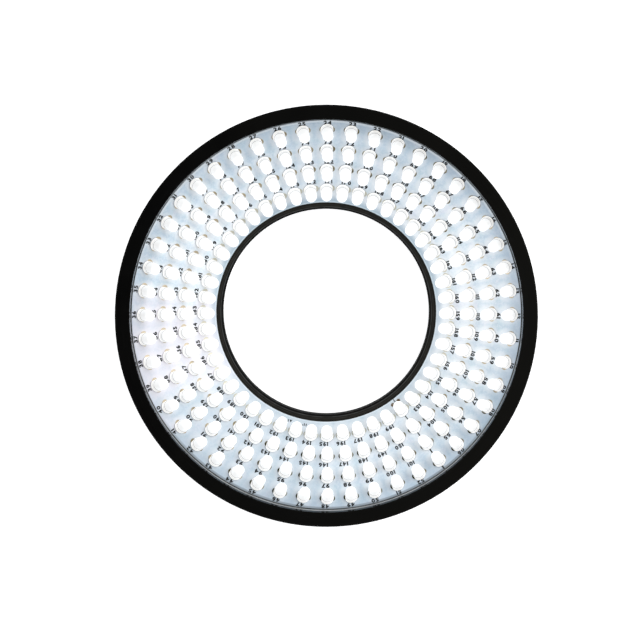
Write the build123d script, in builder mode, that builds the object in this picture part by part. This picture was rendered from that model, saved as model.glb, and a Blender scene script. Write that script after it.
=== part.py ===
from build123d import *
import os
from math import radians, degrees, sin, cos, tan, sqrt

os.makedirs("parts", exist_ok=True)

# Machine vision ring light, millimetres.
# The light lies on its flat back with the lit face towards +Z. The origin is on
# the axis of the bore, in the plane of the back face.

# ---------------------------------------------------------------- overall
HEIGHT = 27.0  # back face to front rim
OUTER_R = 60.0  # outside of the housing
BORE_R = 30.0  # clear bore for the lens
EDGE = 0.45  # chamfer on the turned edges

# ---------------------------------------------------------------- housing
LIP_R = 55.85  # bright wall in front of the board
LEDGE_R = 54.6  # wall just behind the board's edge
WALL_R = 52.8  # thicker wall of the rear cavity
WALL_TOP = 15.4  # height where the thick wall ends
SKIRT_R = 58.7  # rebate that takes the back plate
SHOULDER_Z = 3.5  # face that the gasket is pressed on

# ---------------------------------------------------------------- board cone
TILT = 30.0  # slope of the board, and tilt of every lamp
BOARD_T = 0.4  # thickness of the flexible board
BOARD_OUT_R = 55.6
BOARD_IN_R = 31.95
BOARD_REF_R = 55.0
BOARD_REF_Z = 20.2  # height of the board's lit face at BOARD_REF_R
SEAM_DEG = -52.5  # where the rolled board's two ends meet
SEAM_GAP = (0.18, 0.52)  # its width at the bore and at the rim
TAPE_T = 0.15  # adhesive rings under the board's edges

# ---------------------------------------------------------------- lamps
LAMPS_PER_RING = 48
RING_R = (52.9, 47.25, 41.6, 35.9)  # foot of each ring, outer to inner
LAMP_R = 1.5
LAMP_H = 5.3
FLANGE_R = 1.9
FLANGE_H = 1.0
FLANGE_FLAT = 1.62
LAMP_GAP = 0.12  # lamp's foot above the board
LEAD_PITCH = 2.54
LEAD_R = 0.25
LEAD_TAIL = 1.5  # lead left standing behind the board
LEAD_HOLE_R = 0.38
PAD_R = 0.95
PAD_T = 0.06
PAD_LIFT = 0.04
JOINT_R = 0.8
JOINT_H = 0.85

# ---------------------------------------------------------------- collar
COLLAR_R = 31.8
COLLAR_Z = 6.0  # front face of the collar
COLLAR_FOOT_R = 37.6
COLLAR_FOOT_T = 1.6
COLLAR_SEAT_R = 34.4

# ---------------------------------------------------------------- back plate
PLATE_T = 3.0
PLATE_OUT_R = 58.55
PLATE_IN_R = 31.9
GASKET_T = SHOULDER_Z - PLATE_T
PLATE_SCREW_PCR = 56.0
PLATE_SCREWS = 8
PLATE_SCREW_START = 22.5
COLLAR_SCREW_PCR = 35.0
COLLAR_SCREWS = 6
COLLAR_SCREW_START = 15.0
M2_R, M25_R = 1.0, 1.25

# ---------------------------------------------------------------- fixing points
INSERT_PCR = 45.0  # four M4 threads on a 90 mm circle
INSERTS = 4
INSERT_HOLE_R = 1.65
INSERT_BODY_R = 2.85
INSERT_COLLAR_R = 4.1
INSERT_TOP = 6.0
SIDE_HOLE_R = 1.25  # M3 threads in the side wall
SIDE_HOLE_DEPTH = 5.0
SIDE_HOLE_Z = 9.5

# ---------------------------------------------------------------- cable inlet
INLET_Z = 10.1
POCKET_W, POCKET_H, POCKET_FILLET = 25.0, 11.4, 3.0
POCKET_FLOOR = 56.3  # distance of the milled floor from the axis
GLAND_SHANK_R = 3.9
GLAND_FLANGE_R = 5.2
GLAND_MOUTH_R = 3.1
GLAND_THROAT_R = 2.3
CABLE_R = 2.05
WASHER_T = 0.4

# ---------------------------------------------------------------- terminal board
TERM_DEG = -57.0
TERM_R = 45.0
TERM_Z = 6.0
TERM_RADIAL, TERM_LONG, TERM_T = 9.5, 22.0, 1.2
TERM_SCREW_Y = 8.8
SPACER_R = 1.9

POST_R = 1.2
POST_PCR = 44.5
WIRE_R = 0.65


def seam_half(r):
    """Half the gap between the board's two ends at radius r."""
    t = (r - BORE_R) / (OUTER_R - BORE_R)
    return (SEAM_GAP[0] + (SEAM_GAP[1] - SEAM_GAP[0]) * t) / 2


def board_z(r):
    """Height of the board's lit face at radius r."""
    return BOARD_REF_Z + (r - BOARD_REF_R) * tan(radians(TILT))


def drop(t):
    """Vertical depth of a layer of thickness t that lies along the cone."""
    return t / cos(radians(TILT))


# ================================================================ housing shell
seat_drop = drop(BOARD_T + TAPE_T)
with BuildPart() as housing_shell:
    with BuildSketch(Plane.XZ):
        with BuildLine():
            Polyline(
                (SKIRT_R, 0),
                (OUTER_R - EDGE, 0),
                (OUTER_R, EDGE),
                (OUTER_R, HEIGHT - EDGE),
                (OUTER_R - EDGE, HEIGHT),
                (LIP_R + 0.35, HEIGHT),
                (LIP_R, HEIGHT - 0.35),
                (LIP_R, board_z(LIP_R) - seat_drop),
                (LEDGE_R, board_z(LEDGE_R) - seat_drop),
                (LEDGE_R, WALL_TOP + 1.1),
                (WALL_R, WALL_TOP),
                (WALL_R, SHOULDER_Z),
                (SKIRT_R, SHOULDER_Z),
                close=True,
            )
        make_face()
    revolve(axis=Axis.Z)
    # milled pocket that keeps the cable inlet inside the outer diameter
    with BuildSketch(Plane.XZ.offset(OUTER_R + 1)):
        with Locations((0, INLET_Z)):
            RectangleRounded(POCKET_W, POCKET_H, POCKET_FILLET)
    extrude(amount=-(OUTER_R + 1 - POCKET_FLOOR), mode=Mode.SUBTRACT)
    # threaded hole for the gland
    with BuildSketch(Plane.XZ.offset(OUTER_R + 1)):
        with Locations((0, INLET_Z)):
            Circle(GLAND_SHANK_R + 0.05)
    extrude(amount=-(OUTER_R + 1 - WALL_R + 1.5), mode=Mode.SUBTRACT)
    # threaded holes for the back plate's screws
    with BuildSketch(Plane.XY.offset(SHOULDER_Z)):
        with PolarLocations(PLATE_SCREW_PCR, PLATE_SCREWS, start_angle=PLATE_SCREW_START):
            Circle(M25_R + 0.05)
    extrude(amount=6.0, mode=Mode.SUBTRACT)
    # threaded holes in the side wall, at +X, +Y and -X
    with Locations(
        Plane(origin=(OUTER_R, 0, SIDE_HOLE_Z), z_dir=(1, 0, 0)),
        Plane(origin=(0, OUTER_R, SIDE_HOLE_Z), z_dir=(0, 1, 0)),
        Plane(origin=(-OUTER_R, 0, SIDE_HOLE_Z), z_dir=(-1, 0, 0)),
    ):
        CounterSinkHole(SIDE_HOLE_R, SIDE_HOLE_R + 0.35, depth=SIDE_HOLE_DEPTH)
housing_shell.part.label = "housing_shell"
export_step(housing_shell.part, "parts/housing_shell.step")

# ================================================================ inner collar
with BuildPart() as inner_collar:
    with BuildSketch(Plane.XZ):
        with BuildLine():
            Polyline(
                (BORE_R + 0.4, 0),
                (COLLAR_R, 0),
                (COLLAR_R, PLATE_T),
                (COLLAR_FOOT_R, PLATE_T),
                (COLLAR_FOOT_R, PLATE_T + COLLAR_FOOT_T),
                (COLLAR_SEAT_R, PLATE_T + COLLAR_FOOT_T),
                (COLLAR_SEAT_R, board_z(COLLAR_SEAT_R) - seat_drop),
                (COLLAR_R + 0.05, board_z(COLLAR_R + 0.05) - seat_drop),
                (COLLAR_R - 0.05, COLLAR_Z),
                (BORE_R + 0.5, COLLAR_Z),
                (BORE_R, COLLAR_Z - 0.5),
                (BORE_R, 0.4),
                close=True,
            )
        make_face()
    revolve(axis=Axis.Z)
    with BuildSketch(Plane.XY.offset(PLATE_T)):
        with PolarLocations(COLLAR_SCREW_PCR, COLLAR_SCREWS, start_angle=COLLAR_SCREW_START):
            Circle(M2_R + 0.05)
    extrude(amount=COLLAR_FOOT_T + 0.2, mode=Mode.SUBTRACT)
inner_collar.part.label = "inner_collar"
export_step(inner_collar.part, "parts/inner_collar.step")

# ================================================================ back plate
under = Plane(origin=(0, 0, 0), x_dir=(1, 0, 0), z_dir=(0, 0, -1))
with BuildPart() as back_plate:
    with BuildSketch(Plane.XZ):
        with BuildLine():
            Polyline(
                (PLATE_IN_R, 0),
                (PLATE_OUT_R - 0.3, 0),
                (PLATE_OUT_R, 0.3),
                (PLATE_OUT_R, PLATE_T),
                (PLATE_IN_R, PLATE_T),
                close=True,
            )
        make_face()
    revolve(axis=Axis.Z)
    # seen from behind, angles run the other way round
    with Locations(under):
        with PolarLocations(PLATE_SCREW_PCR, PLATE_SCREWS, start_angle=-PLATE_SCREW_START):
            CounterSinkHole(M25_R + 0.15, 2.45, depth=PLATE_T + 1)
        with PolarLocations(COLLAR_SCREW_PCR, COLLAR_SCREWS, start_angle=-COLLAR_SCREW_START):
            CounterSinkHole(M2_R + 0.12, 2.0, depth=PLATE_T + 1)
        with PolarLocations(INSERT_PCR, INSERTS):
            Hole(INSERT_BODY_R, depth=PLATE_T + 1)
back_plate.part.label = "back_plate"
export_step(back_plate.part, "parts/back_plate.step")

# ================================================================ gasket
with BuildPart() as back_gasket:
    with BuildSketch(Plane.XY.offset(PLATE_T)):
        Circle(PLATE_OUT_R - 0.15)
        Circle(WALL_R + 0.3, mode=Mode.SUBTRACT)
        with PolarLocations(PLATE_SCREW_PCR, PLATE_SCREWS, start_angle=PLATE_SCREW_START):
            Circle(M25_R + 0.25, mode=Mode.SUBTRACT)
    extrude(amount=GASKET_T)
back_gasket.part.label = "back_gasket"
export_step(back_gasket.part, "parts/back_gasket.step")


# ================================================================ screws
def countersunk_screw(shank_r, head_r, length, socket_r):
    """One countersunk socket screw, head face down at Z = 0, shank up."""
    with BuildPart() as screw:
        with BuildSketch(Plane.XZ):
            with BuildLine():
                Polyline(
                    (0, 0.05),
                    (head_r, 0.05),
                    (head_r, 0.2),
                    (shank_r, 0.2 + head_r - shank_r),
                    (shank_r, length - 0.3),
                    (shank_r - 0.3, length),
                    (0, length),
                    close=True,
                )
            make_face()
        revolve(axis=Axis.Z)
        with BuildSketch(Plane.XY.offset(0.05)):
            RegularPolygon(socket_r, 6)
        extrude(amount=1.0, mode=Mode.SUBTRACT)
    return screw.part


plate_screw = countersunk_screw(M25_R, 2.2, 8.3, 0.86)
collar_screw = countersunk_screw(M2_R, 1.78, 4.5, 0.7)

with BuildPart() as back_plate_screws:
    with PolarLocations(PLATE_SCREW_PCR, PLATE_SCREWS, start_angle=PLATE_SCREW_START):
        add(plate_screw)
back_plate_screws.part.label = "back_plate_screws"
export_step(back_plate_screws.part, "parts/back_plate_screws.step")

with BuildPart() as collar_screws:
    with PolarLocations(COLLAR_SCREW_PCR, COLLAR_SCREWS, start_angle=COLLAR_SCREW_START):
        add(collar_screw)
collar_screws.part.label = "collar_screws"
export_step(collar_screws.part, "parts/collar_screws.step")

# ================================================================ rear fixing inserts
with BuildPart() as insert_blank:
    with BuildSketch(Plane.XZ):
        with BuildLine():
            Polyline(
                (INSERT_HOLE_R + 0.3, 0),
                (INSERT_BODY_R, 0),
                (INSERT_BODY_R, PLATE_T),
                (INSERT_COLLAR_R, PLATE_T),
                (INSERT_COLLAR_R, PLATE_T + 1.1),
                (3.4, PLATE_T + 1.1),
                (3.4, INSERT_TOP - 0.3),
                (3.1, INSERT_TOP),
                (INSERT_HOLE_R, INSERT_TOP),
                (INSERT_HOLE_R, 0.3),
                close=True,
            )
        make_face()
    revolve(axis=Axis.Z)
with BuildPart() as rear_mount_inserts:
    with PolarLocations(INSERT_PCR, INSERTS):
        add(insert_blank.part)
rear_mount_inserts.part.label = "rear_mount_inserts"
export_step(rear_mount_inserts.part, "parts/rear_mount_inserts.step")

# ================================================================ terminal board group
term = Plane(
    origin=(TERM_R * cos(radians(TERM_DEG)), TERM_R * sin(radians(TERM_DEG)), TERM_Z),
    x_dir=(cos(radians(TERM_DEG)), sin(radians(TERM_DEG)), 0),
    z_dir=(0, 0, 1),
)
term_top = term.offset(TERM_T)
term_foot = term.offset(PLATE_T - TERM_Z)

with BuildPart() as terminal_board:
    with BuildSketch(term):
        RectangleRounded(TERM_RADIAL, TERM_LONG, 1.0)
        with Locations((0, TERM_SCREW_Y), (0, -TERM_SCREW_Y)):
            Circle(M2_R + 0.1, mode=Mode.SUBTRACT)
    extrude(amount=TERM_T)
terminal_board.part.label = "terminal_board"
export_step(terminal_board.part, "parts/terminal_board.step")

with BuildPart() as terminal_board_spacers:
    with BuildSketch(term_foot):
        with Locations((0, TERM_SCREW_Y), (0, -TERM_SCREW_Y)):
            RegularPolygon(SPACER_R + 0.2, 6)
            Circle(M2_R + 0.05, mode=Mode.SUBTRACT)
    extrude(amount=TERM_Z - PLATE_T)
terminal_board_spacers.part.label = "terminal_board_spacers"
export_step(terminal_board_spacers.part, "parts/terminal_board_spacers.step")

with BuildPart() as terminal_board_screws:
    with BuildSketch(term_top):
        with Locations((0, TERM_SCREW_Y), (0, -TERM_SCREW_Y)):
            Circle(1.8)
    extrude(amount=1.3)
    fillet(terminal_board_screws.edges().filter_by(GeomType.CIRCLE).group_by(Axis.Z)[-1], 0.5)
    with BuildSketch(term_top.offset(1.3)):
        with Locations((0, TERM_SCREW_Y), (0, -TERM_SCREW_Y)):
            Rectangle(2.0, 0.45)
            Rectangle(0.45, 2.0)
    extrude(amount=-0.7, mode=Mode.SUBTRACT)
    with BuildSketch(term_top):
        with Locations((0, TERM_SCREW_Y), (0, -TERM_SCREW_Y)):
            Circle(M2_R)
    extrude(amount=-(TERM_T + 2.5))
terminal_board_screws.part.label = "terminal_board_screws"
export_step(terminal_board_screws.part, "parts/terminal_board_screws.step")

# two-way header that the supply cable plugs onto, opening towards the inlet
HEADER_Y, HEADER_X = -4.4, 1.9
with BuildPart() as supply_connector:
    with BuildSketch(term_top):
        with Locations((HEADER_X, HEADER_Y)):
            Rectangle(5.6, 4.6)
    extrude(amount=4.2)
    with BuildSketch(term_top.offset(4.2)):
        with Locations((HEADER_X, HEADER_Y)):
            Rectangle(4.4, 3.2)
    extrude(amount=-3.2, mode=Mode.SUBTRACT)
    with BuildSketch(term_top.offset(4.2)):
        with Locations((HEADER_X, HEADER_Y - 2.0)):
            Rectangle(1.6, 1.4)
    extrude(amount=-2.2, mode=Mode.SUBTRACT)
    with BuildSketch(term_top.offset(2)):
        with Locations((HEADER_X + 1.0, HEADER_Y), (HEADER_X - 1.0, HEADER_Y)):
            Rectangle(0.6, 0.6)
    extrude(amount=-2, mode=Mode.SUBTRACT)
supply_connector.part.label = "supply_connector"
export_step(supply_connector.part, "parts/supply_connector.step")

with BuildPart() as supply_connector_pins:
    with BuildSketch(term_top.offset(0.02)):
        with Locations((HEADER_X + 1.0, HEADER_Y), (HEADER_X - 1.0, HEADER_Y)):
            Rectangle(0.5, 0.5)
    extrude(amount=3.4)
supply_connector_pins.part.label = "supply_connector_pins"
export_step(supply_connector_pins.part, "parts/supply_connector_pins.step")

with BuildPart() as protection_diode:
    with BuildSketch(term_top.offset(0.1)):
        with Locations((-2.6, 0.6)):
            Rectangle(3.4, 4.2)
    extrude(amount=2.0)
    chamfer(protection_diode.edges().group_by(Axis.Z)[-1], 0.3)
protection_diode.part.label = "protection_diode"
export_step(protection_diode.part, "parts/protection_diode.step")

with BuildPart() as protection_diode_tabs:
    with BuildSketch(term_top.offset(0.02)):
        with Locations((-2.6, 0.6 + 2.75), (-2.6, 0.6 - 2.75)):
            Rectangle(1.9, 1.2)
    extrude(amount=0.7)
protection_diode_tabs.part.label = "protection_diode_tabs"
export_step(protection_diode_tabs.part, "parts/protection_diode_tabs.step")

with BuildPart() as resettable_fuse:
    with BuildSketch(term_top.offset(0.02)):
        with Locations((-2.8, -5.4)):
            Rectangle(2.6, 4.0)
    extrude(amount=0.9)
    fillet(resettable_fuse.edges().filter_by(Axis.Z), 0.25)
resettable_fuse.part.label = "resettable_fuse"
export_step(resettable_fuse.part, "parts/resettable_fuse.step")

# ================================================================ supports in the cavity
POST_DEGS = [22.5, 67.5, 112.5, 157.5, 202.5, 247.5, 337.5]
with BuildPart() as insulation_sheet:
    with BuildSketch(Plane.XY.offset(PLATE_T)):
        Circle(WALL_R - 0.3)
        Circle(COLLAR_FOOT_R + 0.5, mode=Mode.SUBTRACT)
        with PolarLocations(INSERT_PCR, INSERTS):
            Circle(INSERT_COLLAR_R + 0.4, mode=Mode.SUBTRACT)
        with Locations(*[(POST_PCR * cos(radians(a)), POST_PCR * sin(radians(a))) for a in POST_DEGS]):
            Circle(POST_R + 1.0, mode=Mode.SUBTRACT)
    extrude(amount=0.3)
    with BuildSketch(term_foot):
        with Locations((0, TERM_SCREW_Y), (0, -TERM_SCREW_Y)):
            Circle(SPACER_R + 0.7)
    extrude(amount=0.3, mode=Mode.SUBTRACT)
insulation_sheet.part.label = "insulation_sheet"
export_step(insulation_sheet.part, "parts/insulation_sheet.step")

with BuildPart() as board_support_posts:
    with BuildSketch(Plane.XY.offset(PLATE_T)):
        with Locations(*[(POST_PCR * cos(radians(a)), POST_PCR * sin(radians(a))) for a in POST_DEGS]):
            Circle(POST_R + 0.8)
    extrude(amount=0.9)
    with BuildSketch(Plane.XY.offset(PLATE_T)):
        with Locations(*[(POST_PCR * cos(radians(a)), POST_PCR * sin(radians(a))) for a in POST_DEGS]):
            Circle(POST_R)
    extrude(amount=12.0)
    # the tops follow the back of the board
    with BuildSketch(Plane.XZ):
        with BuildLine():
            Polyline(
                (POST_PCR - 6, board_z(POST_PCR - 6) - drop(BOARD_T) - 0.06),
                (POST_PCR + 6, board_z(POST_PCR + 6) - drop(BOARD_T) - 0.06),
                (POST_PCR + 6, 30),
                (POST_PCR - 6, 30),
                close=True,
            )
        make_face()
    revolve(axis=Axis.Z, mode=Mode.SUBTRACT)
board_support_posts.part.label = "board_support_posts"
export_step(board_support_posts.part, "parts/board_support_posts.step")

# ================================================================ lamp blanks
# Each blank is made upright on its own foot, then tilted towards the axis.
with BuildPart() as lamp_blank:
    with BuildSketch(Plane.XZ):
        with BuildLine():
            Polyline(
                (0, LAMP_GAP),
                (FLANGE_R, LAMP_GAP),
                (FLANGE_R, LAMP_GAP + FLANGE_H),
                (LAMP_R, LAMP_GAP + FLANGE_H),
                (LAMP_R, LAMP_GAP + LAMP_H - LAMP_R),
            )
            ThreePointArc(
                (LAMP_R, LAMP_GAP + LAMP_H - LAMP_R),
                (LAMP_R * cos(radians(45)), LAMP_GAP + LAMP_H - LAMP_R + LAMP_R * sin(radians(45))),
                (0, LAMP_GAP + LAMP_H),
            )
            Line((0, LAMP_GAP + LAMP_H), (0, LAMP_GAP))
        make_face()
    revolve(axis=Axis.Z)
    # flat on the flange, which marks the cathode, on the clockwise side seen from the front
    with BuildSketch(Plane.XY):
        with Locations((0, -FLANGE_FLAT - 1)):
            Rectangle(5, 2)
    extrude(amount=LAMP_GAP + FLANGE_H + 0.5, mode=Mode.SUBTRACT)

with BuildPart() as lead_blank:
    with BuildSketch(Plane.XZ):
        with BuildLine():
            Polyline(
                (0, LAMP_GAP - 0.01),
                (LEAD_R, LAMP_GAP - 0.01),
                (LEAD_R, -BOARD_T - 0.05),
                (JOINT_R, -BOARD_T - 0.05),
                (LEAD_R + 0.1, -BOARD_T - JOINT_H),
                (LEAD_R, -BOARD_T - JOINT_H - 0.1),
                (LEAD_R, -BOARD_T - LEAD_TAIL),
                (0, -BOARD_T - LEAD_TAIL),
                close=True,
            )
        make_face()
    revolve(axis=Axis.Z)

with BuildPart() as lead_pair:
    with Locations((0, LEAD_PITCH / 2, 0), (0, -LEAD_PITCH / 2, 0)):
        add(lead_blank.part)

with BuildPart() as pad_pair:
    with BuildSketch(Plane.XY.offset(PAD_LIFT)):
        with Locations((0, LEAD_PITCH / 2), (0, -LEAD_PITCH / 2)):
            Circle(PAD_R)
            Circle(LEAD_HOLE_R, mode=Mode.SUBTRACT)
    extrude(amount=PAD_T)

with BuildPart() as hole_pair:
    with BuildSketch(Plane.XY.offset(-1)):
        with Locations((0, LEAD_PITCH / 2), (0, -LEAD_PITCH / 2)):
            Circle(LEAD_HOLE_R)
    extrude(amount=2)

lamp = lamp_blank.part.rotate(Axis.Y, -TILT)
leads = lead_pair.part.rotate(Axis.Y, -TILT)
pads = pad_pair.part.rotate(Axis.Y, -TILT)
holes = hole_pair.part.rotate(Axis.Y, -TILT)

RING_NAMES = ("outer_ring", "second_ring", "third_ring", "inner_ring")
for ring_r, ring_name in zip(RING_R, RING_NAMES):
    with BuildPart() as ring_lamps:
        with Locations(Plane.XY.offset(board_z(ring_r))):
            with PolarLocations(ring_r, LAMPS_PER_RING):
                add(lamp)
    ring_lamps.part.label = "lamps_" + ring_name
    export_step(ring_lamps.part, "parts/lamps_" + ring_name + ".step")

    with BuildPart() as ring_leads:
        with Locations(Plane.XY.offset(board_z(ring_r))):
            with PolarLocations(ring_r, LAMPS_PER_RING):
                add(leads)
    ring_leads.part.label = "lamp_leads_" + ring_name
    export_step(ring_leads.part, "parts/lamp_leads_" + ring_name + ".step")

    with BuildPart() as ring_pads:
        with Locations(Plane.XY.offset(board_z(ring_r))):
            with PolarLocations(ring_r, LAMPS_PER_RING):
                add(pads)
    ring_pads.part.label = "solder_pads_" + ring_name
    export_step(ring_pads.part, "parts/solder_pads_" + ring_name + ".step")

# ================================================================ lamp board
with BuildPart() as lamp_board:
    with BuildSketch(Plane.XZ):
        with BuildLine():
            Polyline(
                (BOARD_IN_R, board_z(BOARD_IN_R)),
                (BOARD_OUT_R, board_z(BOARD_OUT_R)),
                (BOARD_OUT_R, board_z(BOARD_OUT_R) - drop(BOARD_T)),
                (BOARD_IN_R, board_z(BOARD_IN_R) - drop(BOARD_T)),
                close=True,
            )
        make_face()
    revolve(axis=Axis.Z)
    # the two ends of the rolled board don't quite meet: the gap widens towards the rim
    with BuildSketch(Plane.XY):
        with Locations(Location((0, 0, 0), (0, 0, SEAM_DEG))):
            Polygon(
                (BORE_R - 5, -seam_half(BORE_R - 5)),
                (OUTER_R + 5, -seam_half(OUTER_R + 5)),
                (OUTER_R + 5, seam_half(OUTER_R + 5)),
                (BORE_R - 5, seam_half(BORE_R - 5)),
                align=None,
            )
    extrude(amount=HEIGHT, mode=Mode.SUBTRACT)
    for ring_r in RING_R:
        with Locations(Plane.XY.offset(board_z(ring_r))):
            with PolarLocations(ring_r, LAMPS_PER_RING):
                add(holes, mode=Mode.SUBTRACT)
lamp_board.part.label = "lamp_board"
export_step(lamp_board.part, "parts/lamp_board.step")

# adhesive rings that hold the board's two edges on their seats
with BuildPart() as outer_tape_ring:
    with BuildSketch(Plane.XZ):
        with BuildLine():
            Polyline(
                (LEDGE_R + 0.05, board_z(LEDGE_R + 0.05) - drop(BOARD_T)),
                (BOARD_OUT_R, board_z(BOARD_OUT_R) - drop(BOARD_T)),
                (BOARD_OUT_R, board_z(BOARD_OUT_R) - seat_drop),
                (LEDGE_R + 0.05, board_z(LEDGE_R + 0.05) - seat_drop),
                close=True,
            )
        make_face()
    revolve(axis=Axis.Z)
outer_tape_ring.part.label = "outer_tape_ring"
export_step(outer_tape_ring.part, "parts/outer_tape_ring.step")

with BuildPart() as inner_tape_ring:
    with BuildSketch(Plane.XZ):
        with BuildLine():
            Polyline(
                (BOARD_IN_R, board_z(BOARD_IN_R) - drop(BOARD_T)),
                (COLLAR_SEAT_R - 0.1, board_z(COLLAR_SEAT_R - 0.1) - drop(BOARD_T)),
                (COLLAR_SEAT_R - 0.1, board_z(COLLAR_SEAT_R - 0.1) - seat_drop),
                (BOARD_IN_R, board_z(BOARD_IN_R) - seat_drop),
                close=True,
            )
        make_face()
    revolve(axis=Axis.Z)
inner_tape_ring.part.label = "inner_tape_ring"
export_step(inner_tape_ring.part, "parts/inner_tape_ring.step")

# ================================================================ series resistors behind the board
RES_R = 50.0
RESISTORS = 32
RES_START = SEAM_DEG + 180.0 / RESISTORS
with BuildPart() as chip_body:
    with BuildSketch(Plane.XY.offset(-BOARD_T - 0.6)):
        Rectangle(1.6, 2.1)
    extrude(amount=0.52)
with BuildPart() as chip_ends:
    with BuildSketch(Plane.XY.offset(-BOARD_T - 0.63)):
        with Locations((0, 1.33), (0, -1.33)):
            Rectangle(1.62, 0.54)
    extrude(amount=0.56)
chip = chip_body.part.rotate(Axis.Y, -TILT)
ends = chip_ends.part.rotate(Axis.Y, -TILT)

with BuildPart() as series_resistors:
    with Locations(Plane.XY.offset(board_z(RES_R))):
        with PolarLocations(RES_R, RESISTORS, start_angle=RES_START):
            add(chip)
series_resistors.part.label = "series_resistors"
export_step(series_resistors.part, "parts/series_resistors.step")

with BuildPart() as resistor_end_caps:
    with Locations(Plane.XY.offset(board_z(RES_R))):
        with PolarLocations(RES_R, RESISTORS, start_angle=RES_START):
            add(ends)
resistor_end_caps.part.label = "resistor_end_caps"
export_step(resistor_end_caps.part, "parts/resistor_end_caps.step")

# two solder bridges across the seam, beside the collar
BRIDGE_R = 33.15
with BuildPart() as bridge_blank:
    with BuildSketch(Plane.XZ):
        with BuildLine():
            Polyline((0, 0.03), (0.55, 0.03), (0.5, 0.17), (0.32, 0.29), (0.12, 0.34), (0, 0.34), close=True)
        make_face()
    revolve(axis=Axis.Z)
bridge = bridge_blank.part.rotate(Axis.Y, -TILT)
with BuildPart() as seam_solder_bridges:
    with Locations(Plane.XY.offset(board_z(BRIDGE_R))):
        with PolarLocations(BRIDGE_R, 2, start_angle=SEAM_DEG - 1.8, angular_range=3.6, endpoint=True):
            add(bridge)
seam_solder_bridges.part.label = "seam_solder_bridges"
export_step(seam_solder_bridges.part, "parts/seam_solder_bridges.step")


# ================================================================ supply wires
def supply_wire(offset):
    """One insulated wire from the terminal board up to the lamp board's back, beside the seam."""
    a = radians(SEAM_DEG)

    def at(u, z):
        return (u * cos(a) - offset * sin(a), u * sin(a) + offset * cos(a), z)

    route = [
        at(46.6, TERM_Z + TERM_T + 0.05),
        at(46.6, 9.9),
        at(50.1, 12.6),
        at(50.1, board_z(49.4) - drop(BOARD_T) - 0.15),
    ]
    with BuildPart() as wire:
        with BuildLine() as path:
            FilletPolyline(*route, radius=1.9)
        with BuildSketch(Plane(origin=route[0], z_dir=(0, 0, 1))):
            Circle(WIRE_R)
        sweep(path=path.wires()[0])
    print("wire volume", wire.part.volume, "section times length", 3.14159265 * WIRE_R**2 * path.wires()[0].length)
    return wire.part


positive = supply_wire(2.0)
positive.label = "supply_wire_positive"
export_step(positive, "parts/supply_wire_positive.step")
negative = supply_wire(-2.0)
negative.label = "supply_wire_negative"
export_step(negative, "parts/supply_wire_negative.step")

# ================================================================ cable inlet
# The gland's axis runs along -Y. These profiles are drawn with Y as the distance from the axis of the bore.
gland_axis = Axis((0, 0, INLET_Z), (0, -1, 0))
side = Plane(origin=(0, 0, INLET_Z), x_dir=(0, -1, 0), z_dir=(1, 0, 0))
FLANGE_IN = POCKET_FLOOR + WASHER_T
with BuildPart() as cable_gland_body:
    with BuildSketch(side):
        with BuildLine():
            Polyline(
                (50.2, GLAND_THROAT_R),
                (50.2, GLAND_SHANK_R - 0.3),
                (50.5, GLAND_SHANK_R),
                (FLANGE_IN, GLAND_SHANK_R),
                (FLANGE_IN, GLAND_FLANGE_R),
                (58.0, GLAND_FLANGE_R),
                (58.3, GLAND_FLANGE_R - 0.3),
                (58.3, GLAND_MOUTH_R),
                (53.2, GLAND_MOUTH_R),
                (52.4, GLAND_THROAT_R),
                close=True,
            )
        make_face()
    revolve(axis=gland_axis)
cable_gland_body.part.label = "cable_gland_body"
export_step(cable_gland_body.part, "parts/cable_gland_body.step")

with BuildPart() as cable_gland_washer:
    with BuildSketch(side):
        with BuildLine():
            Polyline(
                (POCKET_FLOOR, GLAND_SHANK_R + 0.05),
                (POCKET_FLOOR, GLAND_FLANGE_R - 0.15),
                (FLANGE_IN, GLAND_FLANGE_R - 0.15),
                (FLANGE_IN, GLAND_SHANK_R + 0.05),
                close=True,
            )
        make_face()
    revolve(axis=gland_axis)
cable_gland_washer.part.label = "cable_gland_washer"
export_step(cable_gland_washer.part, "parts/cable_gland_washer.step")

with BuildPart() as cable_gland_seal:
    with BuildSketch(side):
        with BuildLine():
            Polyline(
                (53.25, CABLE_R),
                (53.25, GLAND_MOUTH_R - 0.05),
                (56.4, GLAND_MOUTH_R - 0.05),
                (56.4, CABLE_R),
                close=True,
            )
        make_face()
    revolve(axis=gland_axis)
cable_gland_seal.part.label = "cable_gland_seal"
export_step(cable_gland_seal.part, "parts/cable_gland_seal.step")

with BuildPart() as cable_gland_cap:
    with BuildSketch(side):
        with BuildLine():
            Polyline(
                (56.45, 2.4),
                (56.45, GLAND_MOUTH_R - 0.05),
                (58.35, GLAND_MOUTH_R - 0.05),
                (58.35, 4.5),
                (59.3, 4.5),
                (59.6, 4.2),
                (59.6, 2.7),
                (59.3, 2.4),
                close=True,
            )
        make_face()
    revolve(axis=gland_axis)
    # grip slots round the cap
    with BuildSketch(Plane.XZ.offset(59.7)):
        with Locations((0, INLET_Z)):
            with PolarLocations(4.75, 12):
                Circle(0.45)
    extrude(amount=-1.35, mode=Mode.SUBTRACT)
cable_gland_cap.part.label = "cable_gland_cap"
export_step(cable_gland_cap.part, "parts/cable_gland_cap.step")

with BuildPart() as cable_gland_locknut:
    with BuildSketch(Plane.XZ.offset(52.45)):
        with Locations((0, INLET_Z)):
            RegularPolygon(5.7, 6)
            Circle(GLAND_SHANK_R + 0.03, mode=Mode.SUBTRACT)
    extrude(amount=-1.8)
cable_gland_locknut.part.label = "cable_gland_locknut"
export_step(cable_gland_locknut.part, "parts/cable_gland_locknut.step")
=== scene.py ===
import math

import bpy
import bmesh
import numpy as np
from mathutils import Matrix, Vector


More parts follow.
